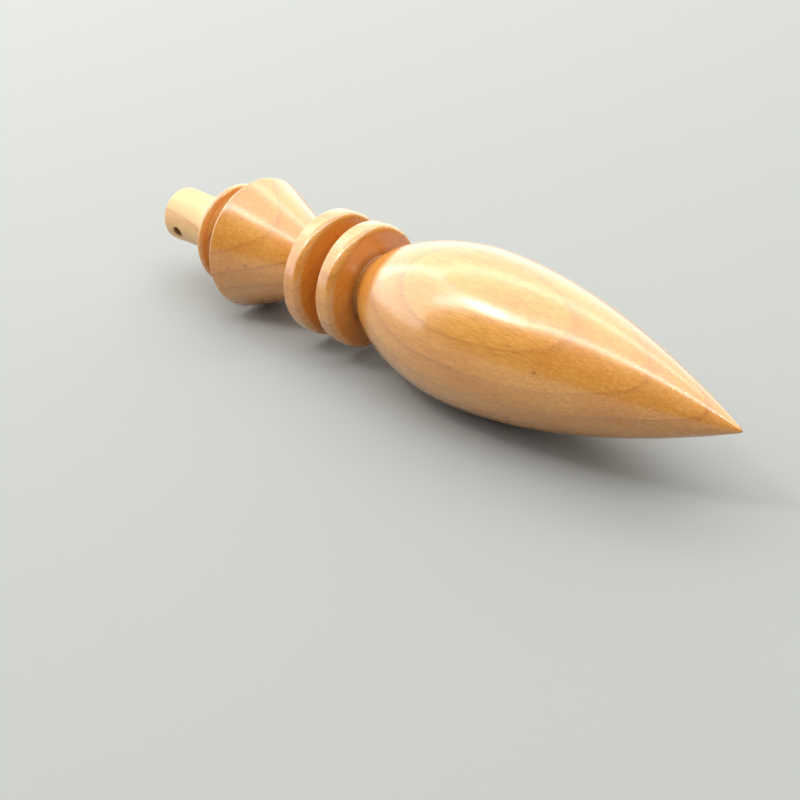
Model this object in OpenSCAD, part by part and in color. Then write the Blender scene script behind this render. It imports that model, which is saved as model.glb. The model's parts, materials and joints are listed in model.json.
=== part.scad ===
// Turned wooden pendulum: one piece of wood, lying on its side with its tip towards +X.
// It rests on its belly and on the rim of its cone, so its axis leans down a little
// towards the stem. All places along the axis are measured from the tip.

/* [Body] */
// Overall length, from the tip to the end of the stem
length = 100; // [98:0.5:104]
// Diameter at the belly, the widest part
belly_d = 21.4; // [20.8:0.1:24]
// Distance of the belly from the tip
belly_at = 39.5; // [36:0.5:42]
// Diameter of the blunt point
tip_d = 0.3; // [0.2:0.1:0.8]
// Distance of the body's back end from the tip
body_end = 57.3; // [56.8:0.1:57.6]
// Diameter at the bottom of the groove behind the body
neck_d = 9.4; // [7:0.1:10]

/* [Discs] */
// Distance of the front disc's face from the tip
front_disc_at = 58.2; // [58:0.1:58.6]
// Diameter of the front disc
front_disc_d = 17.7; // [16:0.1:19]
// Distance of the back disc's face from the tip
back_disc_at = 64.5; // [64:0.1:65]
// Diameter of the back disc
back_disc_d = 18; // [16:0.1:19]
// Thickness of each disc
disc_w = 2.8; // [2.4:0.1:3]
// Radius of each disc's edge on the side towards the tip
disc_round = 1.1; // [0.4:0.05:1.3]
// Radius of each disc's edge on the side towards the stem
disc_edge = 0.3; // [0.15:0.05:0.45]
// Diameter where a disc's face meets the core
core_d = 9.8; // [9.6:0.1:13]
// How far each disc's face stands out towards the tip at the core
face_rise = 0.6; // [0.1:0.1:0.7]

/* [Cone] */
// Diameter at the narrow end of the cone
cone_small_d = 7.6; // [6.5:0.1:9]
// Diameter at the rim of the cone
cone_rim_d = 19.7; // [17:0.1:20.5]
// Distance of the cone's rim from the tip
cone_rim_at = 82.2; // [81:0.1:83]

/* [Collar] */
// Diameter of the collar's rim
collar_d = 15.3; // [13:0.1:17]
// Distance of the collar's rim from the tip
collar_at = 87.3; // [86.5:0.1:88]
// Width of the flat on the collar's rim
collar_land = 0.35; // [0.2:0.05:0.6]
// Diameter at the bottom of the groove between the cone and the collar
groove_d = 10.4; // [9:0.1:12]

/* [Stem] */
// Diameter at the stem's end
stem_d = 8.2; // [7:0.1:9.5]
// Diameter at the stem's waist
waist_d = 8; // [6.6:0.1:9]
// Distance of the waist from the stem's end
waist_from_end = 3; // [2.5:0.1:4]
// Size of the eased edge at the stem's end
end_bevel = 0.2; // [0.1:0.05:0.4]

/* [Cord hole] */
// Diameter of the hole through the stem
hole_d = 1.7; // [1.2:0.1:2.5]
// Distance of the hole's axis from the stem's end
hole_from_end = 2.7; // [2.2:0.1:4]
// Turn of the hole about the long axis, where 0 is level
hole_turn = 20; // [0:1:90]

/* [Hidden] */

// Steps in each curve and each small arc
curve_steps = 24;
arc_steps = 6;

// The lean that lays the belly and the cone's rim on the same level surface
belly_r = belly_d / 2;
rim_r = cone_rim_d / 2;
lean = atan((belly_r - rim_r) / (cone_rim_at - belly_at));
tip_height = belly_at * sin(lean) + belly_r * cos(lean);
half_span = (length * cos(lean) + (stem_d / 2 - end_bevel) * sin(lean)) / 2;

// A point [place along the axis, radius] on a cubic Bezier curve
function bezier_point(p, t) =
    pow(1 - t, 3) * p[0] + 3 * pow(1 - t, 2) * t * p[1]
    + 3 * (1 - t) * t * t * p[2] + pow(t, 3) * p[3];

function bezier(p, steps) = [for (i = [0:steps]) bezier_point(p, i / steps)];

// A quarter circle or less about c, from angle a to angle b
function arc(c, r, a, b) = [
    for (i = [0:arc_steps])
        let (angle = a + (b - a) * i / arc_steps)
        c + r * [cos(angle), sin(angle)]
];

// From the blunt point, swelling to the belly
function front_curve() = bezier([
    [0, tip_d / 2],
    [0.184 * belly_at, 0.35 * belly_r],
    [0.595 * belly_at, belly_r],
    [belly_at, belly_r]
], curve_steps);

// From the belly, round the shoulder and into the neck
function back_curve() = bezier([
    [belly_at, belly_r],
    [belly_at + 3.1, belly_r],
    [body_end - 5.2, 0.9 * belly_r],
    [body_end, neck_d / 2]
], curve_steps);

// One disc, from the corner where its face meets the core to its back corner
function disc(at, d, back_r) = concat(
    [[at - face_rise, core_d / 2]],
    arc([at + disc_round, d / 2 - disc_round], disc_round, 180, 90),
    arc([at + disc_w - disc_edge, d / 2 - disc_edge], disc_edge, 90, 0),
    [[at + disc_w, back_r]]
);

// The hollow between the cone's rim and the collar's rim, with its undercut back wall
function collar_groove() = bezier([
    [cone_rim_at + 0.35, rim_r - 0.3],
    [cone_rim_at + 0.7, groove_d / 2 - 0.6],
    [collar_at - 3.2, groove_d / 2 - 0.9],
    [collar_at - collar_land / 2, collar_d / 2]
], curve_steps / 2);

// From the back of the collar's rim, in a cove down to the stem and along its waist
function stem_curve() = concat(
    bezier([
        [collar_at + collar_land / 2, collar_d / 2],
        [collar_at + 0.6, stem_d / 2 + 0.9],
        [collar_at + 2.6, waist_d / 2 + 0.1],
        [length - waist_from_end - 2.5, waist_d / 2]
    ], curve_steps / 2),
    bezier([
        [length - waist_from_end, waist_d / 2],
        [length - 2, waist_d / 2],
        [length - 1, stem_d / 2],
        [length - end_bevel, stem_d / 2]
    ], arc_steps),
    [[length, stem_d / 2 - end_bevel]]
);

// The whole outline above the axis
outline = concat(
    [[0, 0]],
    front_curve(),
    [for (i = [1:curve_steps]) back_curve()[i]],
    disc(front_disc_at, front_disc_d, core_d / 2 - 0.4),
    disc(back_disc_at, back_disc_d, cone_small_d / 2 + 0.5),
    [
        [back_disc_at + disc_w + 0.5, cone_small_d / 2],
        [cone_rim_at - 0.25, rim_r - 0.1],
        [cone_rim_at, rim_r]
    ],
    collar_groove(),
    stem_curve(),
    [[length, 0]]
);

module turned_blank() {
    rotate_extrude($fn = 96)
        polygon([for (p = outline) [p[1], -p[0]]]);
}

module cord_hole() {
    translate([0, 0, hole_from_end - length])
        rotate([90, 0, 0])
            cylinder(d = hole_d, h = 2 * stem_d, center = true, $fn = 32);
}

module pendulum() {
    color("burlywood")
        translate([half_span, 0, tip_height])
            rotate([0, -lean, 0])
                rotate([hole_turn, 0, 0])
                    rotate([0, 90, 0])
                        difference() {
                            turned_blank();
                            cord_hole();
                        }
}

pendulum();
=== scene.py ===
"""Looks of a turned wooden pendulum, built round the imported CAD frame.
Names that end in _MM hold millimetres, and so do places and radii on the turned outline and
lengths inside the wood material. Everything else is in metres."""
import json
import math
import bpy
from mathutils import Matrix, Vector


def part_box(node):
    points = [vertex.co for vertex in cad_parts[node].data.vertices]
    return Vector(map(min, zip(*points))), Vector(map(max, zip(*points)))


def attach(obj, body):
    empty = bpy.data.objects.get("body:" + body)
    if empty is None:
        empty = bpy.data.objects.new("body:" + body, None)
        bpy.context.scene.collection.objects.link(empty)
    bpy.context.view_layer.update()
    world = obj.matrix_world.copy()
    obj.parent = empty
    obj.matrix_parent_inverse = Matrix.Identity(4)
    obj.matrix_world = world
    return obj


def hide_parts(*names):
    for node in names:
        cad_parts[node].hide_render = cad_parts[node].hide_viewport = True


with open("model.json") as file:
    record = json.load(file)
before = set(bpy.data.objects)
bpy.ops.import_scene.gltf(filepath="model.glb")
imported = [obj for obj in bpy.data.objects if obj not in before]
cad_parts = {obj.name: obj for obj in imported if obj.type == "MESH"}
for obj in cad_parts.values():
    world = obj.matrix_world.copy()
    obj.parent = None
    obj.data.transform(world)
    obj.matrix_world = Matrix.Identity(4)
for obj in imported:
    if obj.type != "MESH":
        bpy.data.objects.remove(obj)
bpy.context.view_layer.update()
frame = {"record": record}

from types import SimpleNamespace

import bpy
from mathutils import Matrix, Vector

# The object lies along X with its tip towards +X, and rests on z = 0.
MM = 0.001
TIP_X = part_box("pendulum")[1].x
hole = next(m for m in frame["record"]["mounts"] if m["name"] == "cord_hole")
HOLE_WAY = Vector(hole["axis"]).normalized()
HOLE_RADIUS_MM = hole["dims"]["r_mm"]

# Driving sizes of the turned outline, with places measured along its axis from the tip.
LENGTH_MM = 100
BLUNT_POINT_MM = ((0, 0), (0.02, 0.09), (0.08, 0.16))  # places and radii
TIP_RADIUS_MM = 0.15
BELLY_AT_MM = 39.5
BELLY_RADIUS_MM = 10.7
BODY_END_MM = 57.3
NECK_RADIUS_MM = 4.7

FRONT_DISC_AT_MM = 58.2
FRONT_DISC_RADIUS_MM = 8.85
FRONT_DISC_BACK_RADIUS_MM = 4.5  # radius of the core behind the disc
BACK_DISC_AT_MM = 64.5
BACK_DISC_RADIUS_MM = 9.0
BACK_DISC_BACK_RADIUS_MM = 4.3
DISC_WIDTH_MM = 2.8
FACE_RISE_MM = 0.6  # how far a disc's face stands out at the core
CORE_RADIUS_MM = 4.9
CORE_SLOPE = 0.2

CONE_START_MM = 67.8
CONE_START_RADIUS_MM = 3.8
CONE_RIM_AT_MM = 82.2
CONE_RIM_RADIUS_MM = 9.85
GROOVE_RADIUS_MM = 5.2
COLLAR_AT_MM = 87.3
COLLAR_RADIUS_MM = 7.65
COLLAR_LIP_MM = 0.2  # from the collar's place to the back corner of its rim

WAIST_RADIUS_MM = 4.0
STEM_RADIUS_MM = 4.1
FLARE_START_MM = 96.5
FLARE_LENGTH_MM = 2.6
HOLE_FROM_END_MM = 2.7
HOLE_AT_MM = LENGTH_MM - HOLE_FROM_END_MM

# The stretch of stem about the hole, which is meshed as a patch round each mouth.
PATCH_START_MM = 95.1
PATCH_END_MM = 99.15

# Radii of the eased edges and corners.
FACE_CORNER_MM = 0.06
DISC_ROUND_MM = 1.1
DISC_EDGE_MM = 0.3
DISC_CORNER_MM = 0.25
CONE_CORNER_MM = 0.5
CONE_EDGE_MM = 0.28
COLLAR_ROUND_MM = 0.6
COLLAR_EDGE_MM = 0.2
END_EDGE_MM = 0.28

# The axis leans so that the belly and the cone's rim lie on one level surface.
LEAN = math.atan2(BELLY_RADIUS_MM - CONE_RIM_RADIUS_MM, CONE_RIM_AT_MM - BELLY_AT_MM)
TIP_HEIGHT_MM = BELLY_AT_MM * math.sin(LEAN) + BELLY_RADIUS_MM * math.cos(LEAN)
ALONG = Vector((-math.cos(LEAN), 0, -math.sin(LEAN)))
UP = Vector((-math.sin(LEAN), 0, math.cos(LEAN)))
SIDE = ALONG.cross(UP)
TIP = Vector((TIP_X, 0, TIP_HEIGHT_MM * MM))


# ---------------------------------------------------------------- camera

CAMERA_AZIMUTH = math.radians(43.77)
CAMERA_ELEVATION = math.radians(29.92)
CAMERA_LENS_MM = 63.15
SENSOR_MM = 36
CAMERA_DISTANCE = 1.8894  # in lengths of the object
CAMERA_AIM = Vector((0.02475, -0.06196, -0.00749))  # in lengths, from the frame's origin
CAMERA_NEAREST = 0.01
CAMERA_FARTHEST = 50


def make_camera():
    """The photograph's viewpoint."""
    back = Vector((
        math.sin(CAMERA_AZIMUTH) * math.cos(CAMERA_ELEVATION),
        -math.cos(CAMERA_AZIMUTH) * math.cos(CAMERA_ELEVATION),
        math.sin(CAMERA_ELEVATION),
    ))
    data = bpy.data.cameras.new("camera")
    data.lens = CAMERA_LENS_MM
    data.sensor_width = SENSOR_MM
    data.clip_start = CAMERA_NEAREST
    data.clip_end = CAMERA_FARTHEST
    camera = bpy.data.objects.new("camera", data)
    camera.location = (CAMERA_AIM + back * CAMERA_DISTANCE) * (LENGTH_MM * MM)
    camera.rotation_euler = (-back).to_track_quat("-Z", "Y").to_euler()
    bpy.context.collection.objects.link(camera)
    bpy.context.scene.camera = camera


make_camera()


# ---------------------------------------------------------------- outline

def bezier(points, steps):
    """Points along a cubic Bezier curve, without its first point."""
    start, leave, arrive, end = [Vector(point) for point in points]
    curve = []
    for i in range(1, steps + 1):
        t = i / steps
        u = 1 - t
        curve.append(u**3 * start + 3 * u * u * t * leave + 3 * u * t * t * arrive + t**3 * end)
    return curve


def line_to(path, end, longest=0.45):
    """Carries the path straight on to a point, in short pieces."""
    start = path[-1]
    end = Vector(end)
    pieces = max(1, math.ceil((end - start).length / longest))
    path += [start.lerp(end, i / pieces) for i in range(1, pieces + 1)]


def round_corner(path, corner, after, radius, steps=5):
    """Carries the path on to an eased corner, where it turns towards the point after it."""
    corner = Vector(corner)
    back = (path[-1] - corner).normalized()
    on = (Vector(after) - corner).normalized()
    half = back.angle(on) / 2
    line_to(path, corner + back * (radius / math.tan(half)))
    centre = corner + (back + on).normalized() * (radius / math.sin(half))
    first = path[-1] - centre
    turn = -first.angle_signed(corner + on * (radius / math.tan(half)) - centre)
    for i in range(1, steps + 1):
        cosine = math.cos(turn * i / steps)
        sine = math.sin(turn * i / steps)
        step = (cosine * first.x - sine * first.y, sine * first.x + cosine * first.y)
        path.append(centre + Vector(step))


def add_body(path):
    """The blunt point, the long swell to the belly, and the shoulder down to the neck."""
    path += [Vector(point) for point in BLUNT_POINT_MM]
    swell = bezier([
        (0, TIP_RADIUS_MM),
        (0.184 * BELLY_AT_MM, 0.35 * BELLY_RADIUS_MM),
        (0.595 * BELLY_AT_MM, BELLY_RADIUS_MM),
        (BELLY_AT_MM, BELLY_RADIUS_MM),
    ], steps=84)
    path += swell[1:]
    path += bezier([
        (BELLY_AT_MM, BELLY_RADIUS_MM),
        (BELLY_AT_MM + 3.1, BELLY_RADIUS_MM),
        (BODY_END_MM - 5.2, 0.9 * BELLY_RADIUS_MM),
        (BODY_END_MM, NECK_RADIUS_MM),
    ], steps=58)


def add_disc(path, at, rim, back):
    """One disc: its face, the softer edge towards the tip, the rim, and the crisper edge
    towards the stem."""
    end = at + DISC_WIDTH_MM
    round_corner(path, (at - FACE_RISE_MM, CORE_RADIUS_MM), (at, rim), FACE_CORNER_MM, steps=3)
    round_corner(path, (at, rim), (end, rim), DISC_ROUND_MM, steps=11)
    round_corner(path, (end, rim), (end, back), DISC_EDGE_MM, steps=6)
    round_corner(path, (end, back), (end + 1, back + CORE_SLOPE), DISC_CORNER_MM)


def add_cone(path):
    """The cone, which widens towards the stem, and the edge of its rim."""
    rim = (CONE_RIM_AT_MM, CONE_RIM_RADIUS_MM)
    round_corner(path, (CONE_START_MM, CONE_START_RADIUS_MM), rim, CONE_CORNER_MM)
    round_corner(path, rim, (rim[0] + 0.3, rim[1] - 0.6), CONE_EDGE_MM, steps=6)


def add_collar(path):
    """The hollow behind the cone's rim, with its undercut back wall, and the collar's rim."""
    hollow_start = (CONE_RIM_AT_MM + 0.42, CONE_RIM_RADIUS_MM - 0.62)
    line_to(path, hollow_start)
    path += bezier([
        hollow_start,
        (CONE_RIM_AT_MM + 0.7, GROOVE_RADIUS_MM - 0.6),
        (COLLAR_AT_MM - 3.2, GROOVE_RADIUS_MM - 0.9),
        (COLLAR_AT_MM - 0.9, COLLAR_RADIUS_MM - 1.0),
    ], steps=20)
    front = (COLLAR_AT_MM - 0.55, COLLAR_RADIUS_MM)
    back = (COLLAR_AT_MM + COLLAR_LIP_MM, COLLAR_RADIUS_MM)
    below = COLLAR_RADIUS_MM - 0.6
    round_corner(path, front, back, COLLAR_ROUND_MM, steps=7)
    round_corner(path, back, (back[0] + 0.1, below), COLLAR_EDGE_MM)
    line_to(path, (back[0] + 0.12, below))


def add_stem(path):
    """The cove behind the collar and the waist, up to the patch that the hole goes through."""
    path += bezier([
        path[-1],
        (COLLAR_AT_MM + 0.6, WAIST_RADIUS_MM + 1.0),
        (COLLAR_AT_MM + 2.6, WAIST_RADIUS_MM + 0.1),
        (PATCH_START_MM - 0.6, WAIST_RADIUS_MM),
    ], steps=24)
    path.append(Vector((PATCH_START_MM, WAIST_RADIUS_MM)))


def outline():
    """The turned outline from the tip to the patch of stem that the cord hole goes through."""
    path = []
    add_body(path)
    add_disc(path, FRONT_DISC_AT_MM, FRONT_DISC_RADIUS_MM, FRONT_DISC_BACK_RADIUS_MM)
    add_disc(path, BACK_DISC_AT_MM, BACK_DISC_RADIUS_MM, BACK_DISC_BACK_RADIUS_MM)
    add_cone(path)
    add_collar(path)
    add_stem(path)
    return path


def stem_end():
    """The rest of the outline, behind that patch, almost to the centre of the stem's end."""
    path = [Vector((PATCH_END_MM, STEM_RADIUS_MM))]
    round_corner(path, (LENGTH_MM, STEM_RADIUS_MM), (LENGTH_MM, 0), END_EDGE_MM, steps=6)
    line_to(path, (LENGTH_MM, 0.25), longest=0.5)
    return path


# ---------------------------------------------------------------- mesh

SEGMENTS = 240
HOLE_TURN = math.radians(-110)  # 0 is up, and negative is towards -Y

# Each patch is a square border of vertices, with rings that run in from it to the mouth.
PATCH_SEGMENTS = 36
PATCH_RINGS = 24
SPREAD_RINGS = 8
SPREAD_POWER = 0.8  # below 1, so the rings crowd towards the mouth
EASE_RINGS = 6
WALL_RINGS = 12

# The mouth's edge is eased, and a little more towards the stem's end, where a cord pulls.
MOUTH_EASE_MM = 0.22
CORD_WEAR_MM = 0.1


def place(s, radius, angle):
    """A point of the object from its place on the axis, its radius and its turn."""
    up = UP * (radius * math.cos(angle))
    side = SIDE * (radius * math.sin(angle))
    return TIP + MM * (ALONG * s + up + side)


def stem_radius(s):
    """The stem flares a little from its waist to its end."""
    t = max(0, min(1, (s - FLARE_START_MM) / FLARE_LENGTH_MM))
    return WAIST_RADIUS_MM + (STEM_RADIUS_MM - WAIST_RADIUS_MM) * t * t * (3 - 2 * t)


def turned_mesh():
    """The whole turned piece, with a clean round mouth at each end of the hole."""
    points = []
    faces = []
    angles = [HOLE_TURN + 2 * math.pi * (j + 0.5) / SEGMENTS for j in range(SEGMENTS)]
    patch_length = PATCH_END_MM - PATCH_START_MM
    patch_s = [PATCH_START_MM + patch_length * i / PATCH_RINGS for i in range(1, PATCH_RINGS)]
    front = outline()
    profile = front + [Vector((s, stem_radius(s))) for s in patch_s] + stem_end()
    first_row = len(front) - 1
    last_row = first_row + PATCH_RINGS

    def add(point):
        points.append(point)
        return len(points) - 1

    tip = add(place(0, 0, 0))
    rings = [None]
    for s, radius in profile[1:]:
        rings.append([add(place(s, radius, a)) for a in angles])
    end = add(place(LENGTH_MM, 0, 0))

    half = PATCH_SEGMENTS // 2
    in_patch = set(range(SEGMENTS - half, SEGMENTS)) | set(range(half - 1))
    in_far_patch = {(j + SEGMENTS // 2) % SEGMENTS for j in in_patch}
    for j in range(SEGMENTS):
        k = (j + 1) % SEGMENTS
        faces.append((tip, rings[1][k], rings[1][j]))
        faces.append((end, rings[-1][j], rings[-1][k]))
        for i in range(1, len(rings) - 1):
            on_stem = first_row <= i < last_row
            if on_stem and (j in in_patch or j in in_far_patch):
                continue
            faces.append((rings[i][j], rings[i][k], rings[i + 1][k], rings[i + 1][j]))

    mouths = []
    for turned in (0, SEGMENTS // 2):
        border = patch_border(turned, list(range(first_row, last_row + 1)))
        centre = HOLE_TURN + (math.pi if turned else 0)
        reach = []
        for row, column in border:
            s = profile[row].x
            q = stem_radius(s) * math.sin(angles[column] - centre)
            reach.append((math.atan2(q, s - HOLE_AT_MM), math.hypot(q, s - HOLE_AT_MM)))
        vertices = [rings[row][column] for row, column in border]
        mouths.append(mouth(vertices, reach, centre, points, faces))

    wall(mouths, points, faces)
    return points, faces


def patch_border(turned, rows):
    """The (row, column) of each vertex round a patch's border, in order."""
    columns = [(turned - PATCH_SEGMENTS // 2 + n) % SEGMENTS for n in range(PATCH_SEGMENTS)]
    border = [(rows[0], c) for c in columns]
    border += [(r, columns[-1]) for r in rows[1:]]
    border += [(rows[-1], c) for c in reversed(columns[:-1])]
    border += [(r, columns[0]) for r in reversed(rows[1:-1])]
    return border


def mouth(border, reach, centre, points, faces):
    """Rings of vertices that run from a patch's border in to the hole's eased mouth. Each
    border vertex has an angle about the hole and a distance from it. Returns the last ring."""
    previous = border
    for step in range(1, SPREAD_RINGS + EASE_RINGS + 1):
        current = []
        for angle, far in reach:
            ease = MOUTH_EASE_MM + CORD_WEAR_MM * max(0, math.cos(angle)) ** 2
            if step <= SPREAD_RINGS:
                spread = (step / SPREAD_RINGS) ** SPREAD_POWER
                rho = far + (HOLE_RADIUS_MM + ease - far) * spread
                sink = 0
            else:
                bend = (step - SPREAD_RINGS) / EASE_RINGS * math.pi / 2
                rho = HOLE_RADIUS_MM + ease * (1 - math.sin(bend))
                sink = ease * (1 - math.cos(bend))
            s = HOLE_AT_MM + rho * math.cos(angle)
            q = rho * math.sin(angle)
            height = math.sqrt(stem_radius(s) ** 2 - q * q) - sink
            points.append(place(s, math.hypot(q, height), centre + math.atan2(q, height)))
            current.append(len(points) - 1)
        add_band(previous, current, faces)
        previous = current
    return previous


def add_band(outer, inner, faces):
    """A closed band of quads between two rings of vertices."""
    count = len(outer)
    for n in range(count):
        m = (n + 1) % count
        faces.append((outer[n], outer[m], inner[m], inner[n]))


def side_gap(a, b):
    """How far apart two points are, looking along the hole."""
    gap = a - b
    return (gap - HOLE_WAY * gap.dot(HOLE_WAY)).length


def wall(mouths, points, faces):
    """The bore between the two mouths, whose rings run opposite ways round."""
    near, far = mouths
    count = len(near)
    first = points[near[0]]
    offset = min(range(count), key=lambda n: side_gap(first, points[far[n]]))
    matched = [far[(offset - n) % count] for n in range(count)]
    previous = near
    for step in range(1, WALL_RINGS):
        current = []
        for a, b in zip(near, matched):
            points.append(points[a].lerp(points[b], step / WALL_RINGS))
            current.append(len(points) - 1)
        add_band(previous, current, faces)
        previous = current
    add_band(previous, matched, faces)


# ---------------------------------------------------------------- shader nodes

class Nodes:
    """A short way to write a node tree: each call makes its nodes and returns an output."""

    def __init__(self, tree):
        self.tree = tree

    def make(self, kind, inputs=(), output=0, **settings):
        """One node of any kind. A node without outputs is returned itself."""
        node = self.tree.nodes.new(kind)
        for name, value in settings.items():
            setattr(node, name, value)
        for key, value in dict(inputs).items():
            socket = node.inputs[key]
            if isinstance(value, bpy.types.NodeSocket):
                self.tree.links.new(value, socket)
            else:
                socket.default_value = value
        return node.outputs[output] if node.outputs else node

    def math(self, operation, a, b=0.0, c=0.0):
        return self.make("ShaderNodeMath", {0: a, 1: b, 2: c}, operation=operation)

    def times(self, a, b):
        return self.math("MULTIPLY", a, b)

    def length(self, a, b):
        """How long a step is that goes a one way and b across it."""
        return self.math("SQRT", self.math("ADD", self.times(a, a), self.times(b, b)))

    def dot(self, a, b):
        return self.make("ShaderNodeVectorMath", {0: a, 1: b}, "Value", operation="DOT_PRODUCT")

    def step_from(self, point, where):
        """The vector from a fixed point to a place."""
        return self.make("ShaderNodeVectorMath", {0: where, 1: point}, operation="SUBTRACT")

    def ramp(self, value, low, high, to_low=0.0, to_high=1.0):
        """Runs smoothly from to_low to to_high as value goes from low to high."""
        inputs = {
            "Value": value, "From Min": low, "From Max": high,
            "To Min": to_low, "To Max": to_high,
        }
        return self.make("ShaderNodeMapRange", inputs, interpolation_type="SMOOTHSTEP")

    def vector(self, x, y, z):
        return self.make("ShaderNodeCombineXYZ", {0: x, 1: y, 2: z})

    def noise(self, vector, scale, detail=2.0, roughness=0.5):
        inputs = {"Vector": vector, "Scale": scale, "Detail": detail, "Roughness": roughness}
        return self.make("ShaderNodeTexNoise", inputs)

    def mix(self, factor, a, b):
        """Goes from colour a to colour b."""
        return self.make("ShaderNodeMix", {0: factor, 6: a, 7: b}, 2, data_type="RGBA")


def rgb(red, green, blue):
    """A colour given as it looks on a screen, from 0 to 255."""
    def linear(v):
        v /= 255
        return v / 12.92 if v <= 0.04045 else ((v + 0.055) / 1.055) ** 2.4
    return (linear(red), linear(green), linear(blue), 1.0)


# ---------------------------------------------------------------- wood

# The growth rings are nearly flat cylinders. Their centre lies off to one side of the
# turning axis, and leans away from it towards the tip.
PITH_TURN = math.radians(-33)
PITH_AWAY_MM = 27
PITH_AT_MM = 36
GRAIN_SLOPE = 0.068
RING_SPACING_MM = 2.42
RING_BEND_MM = 1.5
RING_FROM_PITH_MM = 36.1
RINGS_TO_ADD = 50.0  # whole rings, which keep the count above zero

PALE_WOOD = rgb(219, 153, 70)
HONEY_WOOD = rgb(206, 133, 50)
FIBRE = rgb(178, 108, 40)
DARK_FIBRE = rgb(152, 84, 28)
PALE_FIBRE = rgb(240, 188, 112)
# End grain's own darker colour, partly painted shade and bounce light.
END_GRAIN_AND_SHADE = rgb(212, 126, 40)
END_PORE = rgb(140, 70, 24)
TURNING_MARK = rgb(150, 80, 30)
# A painted pale sheen for the stem.
STEM_SHEEN = rgb(226, 196, 146)
LATE_WOOD = rgb(178, 108, 48)
RING_LINE = rgb(136, 70, 32)
# Painted shade for the grooves.
GROOVE_SHADE = rgb(96, 44, 16)
PORE = rgb(132, 76, 36)
KNOT_EDGE = rgb(170, 100, 50)
KNOT_HEART = rgb(104, 56, 28)
# Painted shade for the inside of the cord hole.
HOLE_SHADE = rgb(70, 36, 18)

WOOD_IOR = 1.45
POLISH_ROUGHNESS = 0.23
POLISH_IOR = 1.72
LATHE_LINE_MM = 0.006
FIBRE_RELIEF_MM = 0.003
PORE_RELIEF_MM = -0.01

# Pin knots and specks: (place on the axis, turn in degrees, half length, half width, depth).
KNOTS = (
    (23.5, -74, 0.35, 0.22, 0.8),
    (27.5, -61, 0.5, 0.16, 0.6),
    (76.8, -88, 0.35, 0.26, 0.9),
    (47.0, 35, 0.6, 0.3, 0.8),
    (14.0, 120, 0.5, 0.3, 0.7),
    (39.0, 170, 0.9, 0.4, 0.7),
)


def find_place(n):
    """Where a point is on the object: along the axis (s), up and to the side of it, how far
    from it, and its turn about it."""
    where = n.make("ShaderNodeTexCoord", output="Object")
    from_tip = n.step_from(TIP, where)
    at = SimpleNamespace(where=where)
    at.s = n.dot(from_tip, ALONG / MM)
    at.up = n.dot(from_tip, UP / MM)
    at.side = n.dot(from_tip, SIDE / MM)
    at.radius = n.length(at.up, at.side)
    at.turn = n.math("ARCTAN2", at.side, at.up)
    return at


def grain_place(n, at, along, across=1.0):
    """Where to read a pattern that is stretched along the grain."""
    return n.vector(n.times(at.s, along), n.times(at.up, across), n.times(at.side, across))


def count_rings(n, at):
    """How many growth rings out from a fixed one a point lies, bent a little by slow noise."""
    at_origin = -PITH_AWAY_MM - GRAIN_SLOPE * PITH_AT_MM
    pith = n.math("MULTIPLY_ADD", at.s, GRAIN_SLOPE, at_origin)
    up = n.math("SUBTRACT", at.up, n.times(pith, math.cos(PITH_TURN)))
    side = n.math("SUBTRACT", at.side, n.times(pith, math.sin(PITH_TURN)))
    slow = n.noise(grain_place(n, at, 0.035, 0.11), 1.0, 1.5)
    bent = n.math("MULTIPLY_ADD", slow, RING_BEND_MM, n.length(up, side))
    bent = n.math("SUBTRACT", bent, RING_BEND_MM / 2)
    rings = n.times(bent, 1 / RING_SPACING_MM)
    return n.math("SUBTRACT", rings, RING_FROM_PITH_MM / RING_SPACING_MM)


def plain_wood(n, at, fibre_at, fine_fibre):
    """Pale and honey patches, with dark and pale fibres over them."""
    fibre = n.noise(fibre_at, 3.2, 4.0, 0.62)
    patch = n.noise(grain_place(n, at, 0.05, 0.16), 1.0, 2.0)
    colour = n.mix(n.ramp(patch, 0.3, 0.7), PALE_WOOD, HONEY_WOOD)
    colour = n.mix(n.ramp(fibre, 0.35, 0.72, 0.0, 0.3), colour, FIBRE)
    colour = n.mix(n.ramp(fine_fibre, 0.46, 0.72, 0.0, 0.4), colour, DARK_FIBRE)
    return n.mix(n.ramp(fine_fibre, 0.3, 0.5, 0.3, 0.0), colour, PALE_FIBRE)


def add_end_grain_and_shade(n, colour, at):
    """Where the surface faces along the axis it turns darker and more orange: partly the end
    grain drinking oil, partly painted shade and bounce light between the facing discs. It also
    shows cut pores as fine dots, and turning marks round the axis."""
    normal = n.make("ShaderNodeNewGeometry", output="Normal")
    facing = n.math("ABSOLUTE", n.dot(normal, ALONG))
    end_grain = n.ramp(facing, 0.85, 0.98)
    colour = n.mix(n.times(end_grain, 0.7), colour, END_GRAIN_AND_SHADE)
    dots = n.ramp(n.noise(n.vector(0.0, at.up, at.side), 7.0, 2.0, 0.6), 0.5, 0.72, 0.0, 0.5)
    colour = n.mix(n.times(end_grain, dots), colour, END_PORE)
    marks = n.ramp(n.noise(n.vector(at.radius, 0.0, 0.0), 4.0, 2.0, 0.6), 0.45, 0.7, 0.0, 0.25)
    return n.mix(n.times(end_grain, marks), colour, TURNING_MARK)


def add_stem_sheen(n, colour, at):
    """The stem is painted paler, a painted sheen of light over it."""
    stem = n.ramp(at.s, COLLAR_AT_MM + 0.3, COLLAR_AT_MM + 1.3, 0.0, 0.5)
    return n.mix(stem, colour, STEM_SHEEN)


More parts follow.
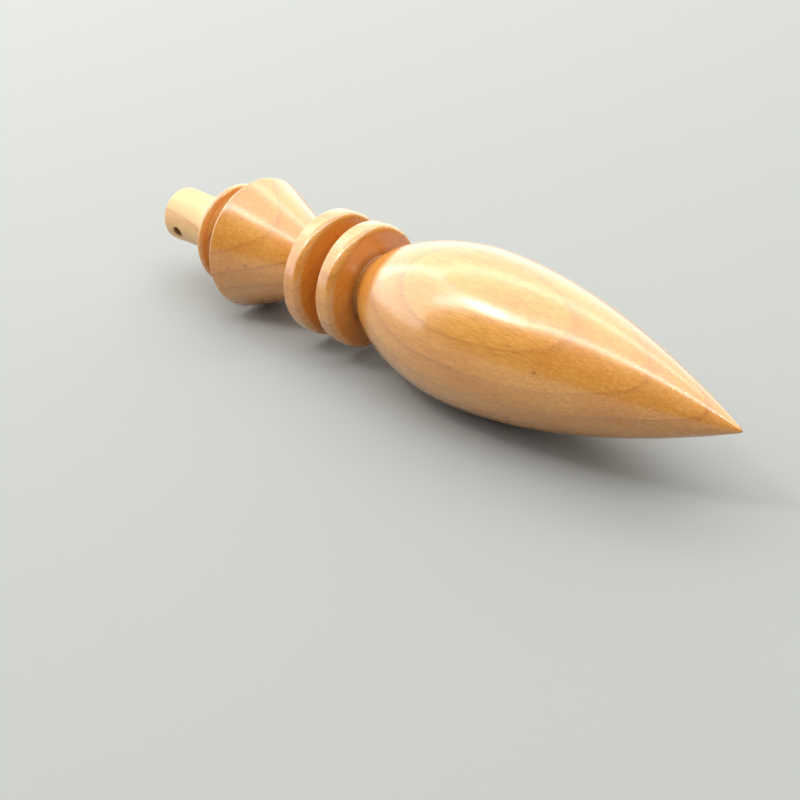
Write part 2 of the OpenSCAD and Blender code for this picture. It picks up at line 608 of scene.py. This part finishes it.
def add_rings(n, colour, at, fine_fibre):
    """Growth rings: each darkens slowly outwards and ends in a thin, broken line."""
    count = count_rings(n, at)
    phase = n.math("FRACT", n.math("ADD", count, RINGS_TO_ADD))
    late = n.ramp(phase, 0.55, 0.97, 0.0, 1.0)
    line = n.times(n.ramp(phase, 0.86, 0.955), n.ramp(phase, 0.97, 1.0, 1.0, 0.0))
    line = n.times(line, n.ramp(fine_fibre, 0.3, 0.6, 0.45, 1.0))
    uneven = n.noise(n.vector(n.times(at.s, 0.03), n.times(count, 0.9), 0.0), 1.0, 1.0)
    strength = n.ramp(uneven, 0.35, 0.65, 0.3, 1.0)
    colour = n.mix(n.times(n.times(late, strength), 0.3), colour, LATE_WOOD)
    return n.mix(n.times(n.times(line, strength), 0.28), colour, RING_LINE)


def find_grooves(n, at):
    """How deep a point lies in the grooves: those from the body to the cone, and the one
    between the cone's rim and the collar."""
    starts = n.ramp(at.s, BODY_END_MM - 0.3, BODY_END_MM + 0.2)
    ends = n.ramp(at.s, CONE_START_MM - 1.2, CONE_START_MM + 0.7, 1.0, 0.0)
    discs = n.times(n.times(starts, ends), n.ramp(at.radius, 4.4, 6.2, 1.0, 0.0))
    starts = n.ramp(at.s, CONE_RIM_AT_MM + 0.3, CONE_RIM_AT_MM + 0.6)
    ends = n.ramp(at.s, COLLAR_AT_MM - 1.1, COLLAR_AT_MM - 0.2, 1.0, 0.0)
    collar = n.times(n.times(starts, ends), n.ramp(at.radius, 5.0, 7.5, 1.0, 0.0))
    return n.times(n.math("ADD", discs, collar), 0.6)


def find_pores(n, at, fibre_at):
    """Short flecks that follow the fibres, in some patches only."""
    inputs = {"Vector": grain_place(n, at, 0.35), "Scale": 2.6}
    cell = n.make("ShaderNodeTexVoronoi", inputs, "Distance")
    patches = n.ramp(n.noise(fibre_at, 1.1, 1.0), 0.5, 0.62)
    return n.times(n.ramp(cell, 0.03, 0.1, 1.0, 0.0), patches)


def add_knots(n, colour, at):
    """Small dark knots with a soft ring round each."""
    for place_mm, degrees, half_length, half_width, depth in KNOTS:
        along = n.times(n.math("SUBTRACT", at.s, place_mm), 1 / half_length)
        swing = n.math("SUBTRACT", at.turn, math.radians(degrees))
        swing = n.math("WRAP", swing, math.pi, -math.pi)
        across = n.times(n.times(swing, at.radius), 1 / half_width)
        far = n.length(along, across)
        colour = n.mix(n.ramp(far, 0.6, 3.2, 0.25 * depth, 0.0), colour, KNOT_EDGE)
        colour = n.mix(n.ramp(far, 0.3, 1.1, 0.7 * depth, 0.0), colour, KNOT_HEART)
    return colour


def add_hole_shade(n, colour, at):
    """Painted shade: the wood is painted dark inside the cord hole and just round its mouths.
    """
    from_hole = n.step_from(hole["pos_m"], at.where)
    across = HOLE_WAY.cross(ALONG).normalized()
    reach = n.length(n.dot(from_hole, ALONG / MM), n.dot(from_hole, across / MM))
    shade_amount = n.ramp(reach, HOLE_RADIUS_MM - 0.05, HOLE_RADIUS_MM + 0.12, 0.75, 0.0)
    return n.mix(shade_amount, colour, HOLE_SHADE)


def find_relief(n, at, fine_fibre, pores):
    """Fine relief: lathe lines round the piece, fibres raised along it and sunken pores."""
    lathe_at = n.vector(n.times(at.s, 2.2), n.times(at.radius, 2.2), n.times(at.turn, 0.12))
    lathe = n.noise(lathe_at, 1.0, 3.0, 0.7)
    behind_belly = n.ramp(at.s, BELLY_AT_MM + 4.5, BELLY_AT_MM + 12.5, 0.25, 1.0)
    relief = n.times(n.times(lathe, behind_belly), LATHE_LINE_MM)
    relief = n.math("MULTIPLY_ADD", fine_fibre, FIBRE_RELIEF_MM, relief)
    relief = n.math("MULTIPLY_ADD", pores, PORE_RELIEF_MM, relief)
    return n.make("ShaderNodeBump", {"Height": relief, "Distance": MM, "Strength": 1.0})


def wood_material():
    """Oiled and polished wood, with one grain that runs through the whole piece."""
    material = bpy.data.materials.new("turned_wood")
    material.use_nodes = True
    tree = material.node_tree
    tree.nodes.clear()
    n = Nodes(tree)

    at = find_place(n)
    fibre_at = grain_place(n, at, 0.06)
    fine_fibre = n.noise(grain_place(n, at, 0.1), 5.0, 4.0, 0.65)
    grooves = find_grooves(n, at)
    pores = find_pores(n, at, fibre_at)

    colour = plain_wood(n, at, fibre_at, fine_fibre)
    # End grain, partly painted shade and bounce light on the disc faces.
    colour = add_end_grain_and_shade(n, colour, at)
    # Painted sheen on the stem.
    colour = add_stem_sheen(n, colour, at)
    colour = add_rings(n, colour, at, fine_fibre)
    # Painted shade in the grooves, which darkens them towards the bottom.
    colour = n.mix(grooves, colour, GROOVE_SHADE)
    colour = n.mix(n.times(pores, 0.4), colour, PORE)
    colour = add_knots(n, colour, at)
    # Painted shade inside the cord hole.
    colour = add_hole_shade(n, colour, at)

    # Clear polish over the body, worn down to a satin on the stem and dull in the grooves.
    stem = n.ramp(at.s, COLLAR_AT_MM + 0.7, COLLAR_AT_MM + 3.2)
    smear = n.noise(grain_place(n, at, 0.12), 0.5, 3.0)
    roughness = n.math("ADD", n.ramp(smear, 0.3, 0.7, 0.2, 0.3), n.times(stem, 0.22))
    roughness = n.math("MULTIPLY_ADD", grooves, 0.5, roughness)
    polish = n.math("MULTIPLY_ADD", grooves, -1.5, 1.0)
    polish = n.math("MULTIPLY_ADD", stem, -0.65, polish)

    inputs = {
        "Base Color": colour, "Roughness": roughness, "IOR": WOOD_IOR,
        "Normal": find_relief(n, at, fine_fibre, pores),
        "Coat Weight": polish, "Coat Roughness": POLISH_ROUGHNESS, "Coat IOR": POLISH_IOR,
    }
    surface = n.make("ShaderNodeBsdfPrincipled", inputs)
    n.make("ShaderNodeOutputMaterial", {"Surface": surface})
    return material


def make_pendulum():
    """The one piece of the object."""
    points, faces = turned_mesh()
    mesh = bpy.data.meshes.new("turned_pendulum")
    mesh.from_pydata(points, [], faces)
    mesh.validate()
    mesh.shade_smooth()
    mesh.materials.append(wood_material())
    piece = bpy.data.objects.new("turned_pendulum", mesh)
    bpy.context.collection.objects.link(piece)
    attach(piece, "root")
    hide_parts("pendulum")


make_pendulum()


# ---------------------------------------------------------------- stage

FLOOR_REACH = 3
FLOOR_COLOUR = (0.31, 0.31, 0.31, 1)
FLOOR_ROUGHNESS = 0.9

# The lights are the panels of a soft tent that is squared up with the camera: RIGHT is to
# the camera's right, and NEAR is level and towards it.
RIGHT = Vector((math.cos(CAMERA_AZIMUTH), math.sin(CAMERA_AZIMUTH), 0))
NEAR = Vector((math.sin(CAMERA_AZIMUTH), -math.cos(CAMERA_AZIMUTH), 0))
UPWARDS = Vector((0, 0, 1))
TENT = 0.5
TENT_TINT = (0.97, 1, 0.96)
BACK_TINT = (1, 1, 0.92)
WORLD_TINT = (0.9, 0.95, 1, 1)
WORLD_STRENGTH = 0.07


def make_floor():
    """A plain pale floor, flat under the object."""
    reach = FLOOR_REACH
    corners = [(-reach, -reach, 0), (reach, -reach, 0), (reach, reach, 0), (-reach, reach, 0)]
    mesh = bpy.data.meshes.new("floor")
    mesh.from_pydata(corners, [], [(0, 1, 2, 3)])
    material = bpy.data.materials.new("floor")
    material.use_nodes = True
    surface = material.node_tree.nodes["Principled BSDF"]
    surface.inputs["Base Color"].default_value = FLOOR_COLOUR
    surface.inputs["Roughness"].default_value = FLOOR_ROUGHNESS
    mesh.materials.append(material)
    floor = bpy.data.objects.new("floor", mesh)
    bpy.context.collection.objects.link(floor)


def add_panel(name, at, width_way, width, height_way, height, watts, tint=TENT_TINT):
    """A soft rectangular light on a side of the tent, facing into it. Its place is given as
    steps to the right, towards the camera and up, where a step is TENT long."""
    right, near, up = at
    centre = TENT * (RIGHT * right + NEAR * near + UPWARDS * up)
    data = bpy.data.lights.new(name, "AREA")
    data.shape = "RECTANGLE"
    data.size = width
    data.size_y = height
    data.energy = watts
    data.color = tint
    light = bpy.data.objects.new(name, data)
    x = width_way.normalized()
    y = height_way.normalized()
    z = x.cross(y)
    if z.dot(centre) < 0:
        x = -x
        z = -z
    turn = Matrix((x, y, z)).transposed().to_4x4()
    light.matrix_world = Matrix.Translation(centre) @ turn
    light.visible_camera = False
    bpy.context.collection.objects.link(light)
    return light


def make_lights():
    """The tent's panels, and the brighter seams where they meet."""
    add_panel("top", (0.1, -0.28, 1), RIGHT, 0.95, NEAR, 0.45, 2.9)
    add_panel("near_seam", (0.0, 0.2, 0.99), RIGHT, 0.7, NEAR, 0.03, 1.0)
    add_panel("far_seam", (0.0, -0.7, 0.99), RIGHT, 0.9, NEAR, 0.14, 1.05)
    add_panel("left", (-0.75, -0.45, 0.5), NEAR, 0.55, UPWARDS, 0.5, 2.2)
    add_panel("left_seam", (-0.72, 0.02, 0.75), NEAR, 0.04, UPWARDS, 0.25, 0.22)
    add_panel("corner", (-0.7, 0.12, 0.98), RIGHT, 0.1, NEAR, 0.1, 0.6)
    # A broad fill from the camera's side, without a reflection of its own.
    fill = add_panel("fill", (0.3, 0.9, 0.9), RIGHT, 0.8, UPWARDS - NEAR, 0.6, 2.2)
    fill.visible_glossy = False
    add_panel("back", (0.1, -0.8, 0.5), RIGHT, 0.95, UPWARDS, 0.5, 3.0, BACK_TINT)


def make_world():
    """A little light from all round."""
    world = bpy.data.worlds.new("world")
    world.use_nodes = True
    background = world.node_tree.nodes["Background"]
    background.inputs["Color"].default_value = WORLD_TINT
    background.inputs["Strength"].default_value = WORLD_STRENGTH
    bpy.context.scene.world = world


make_floor()
make_lights()
make_world()
bpy.context.scene.view_settings.view_transform = "Standard"
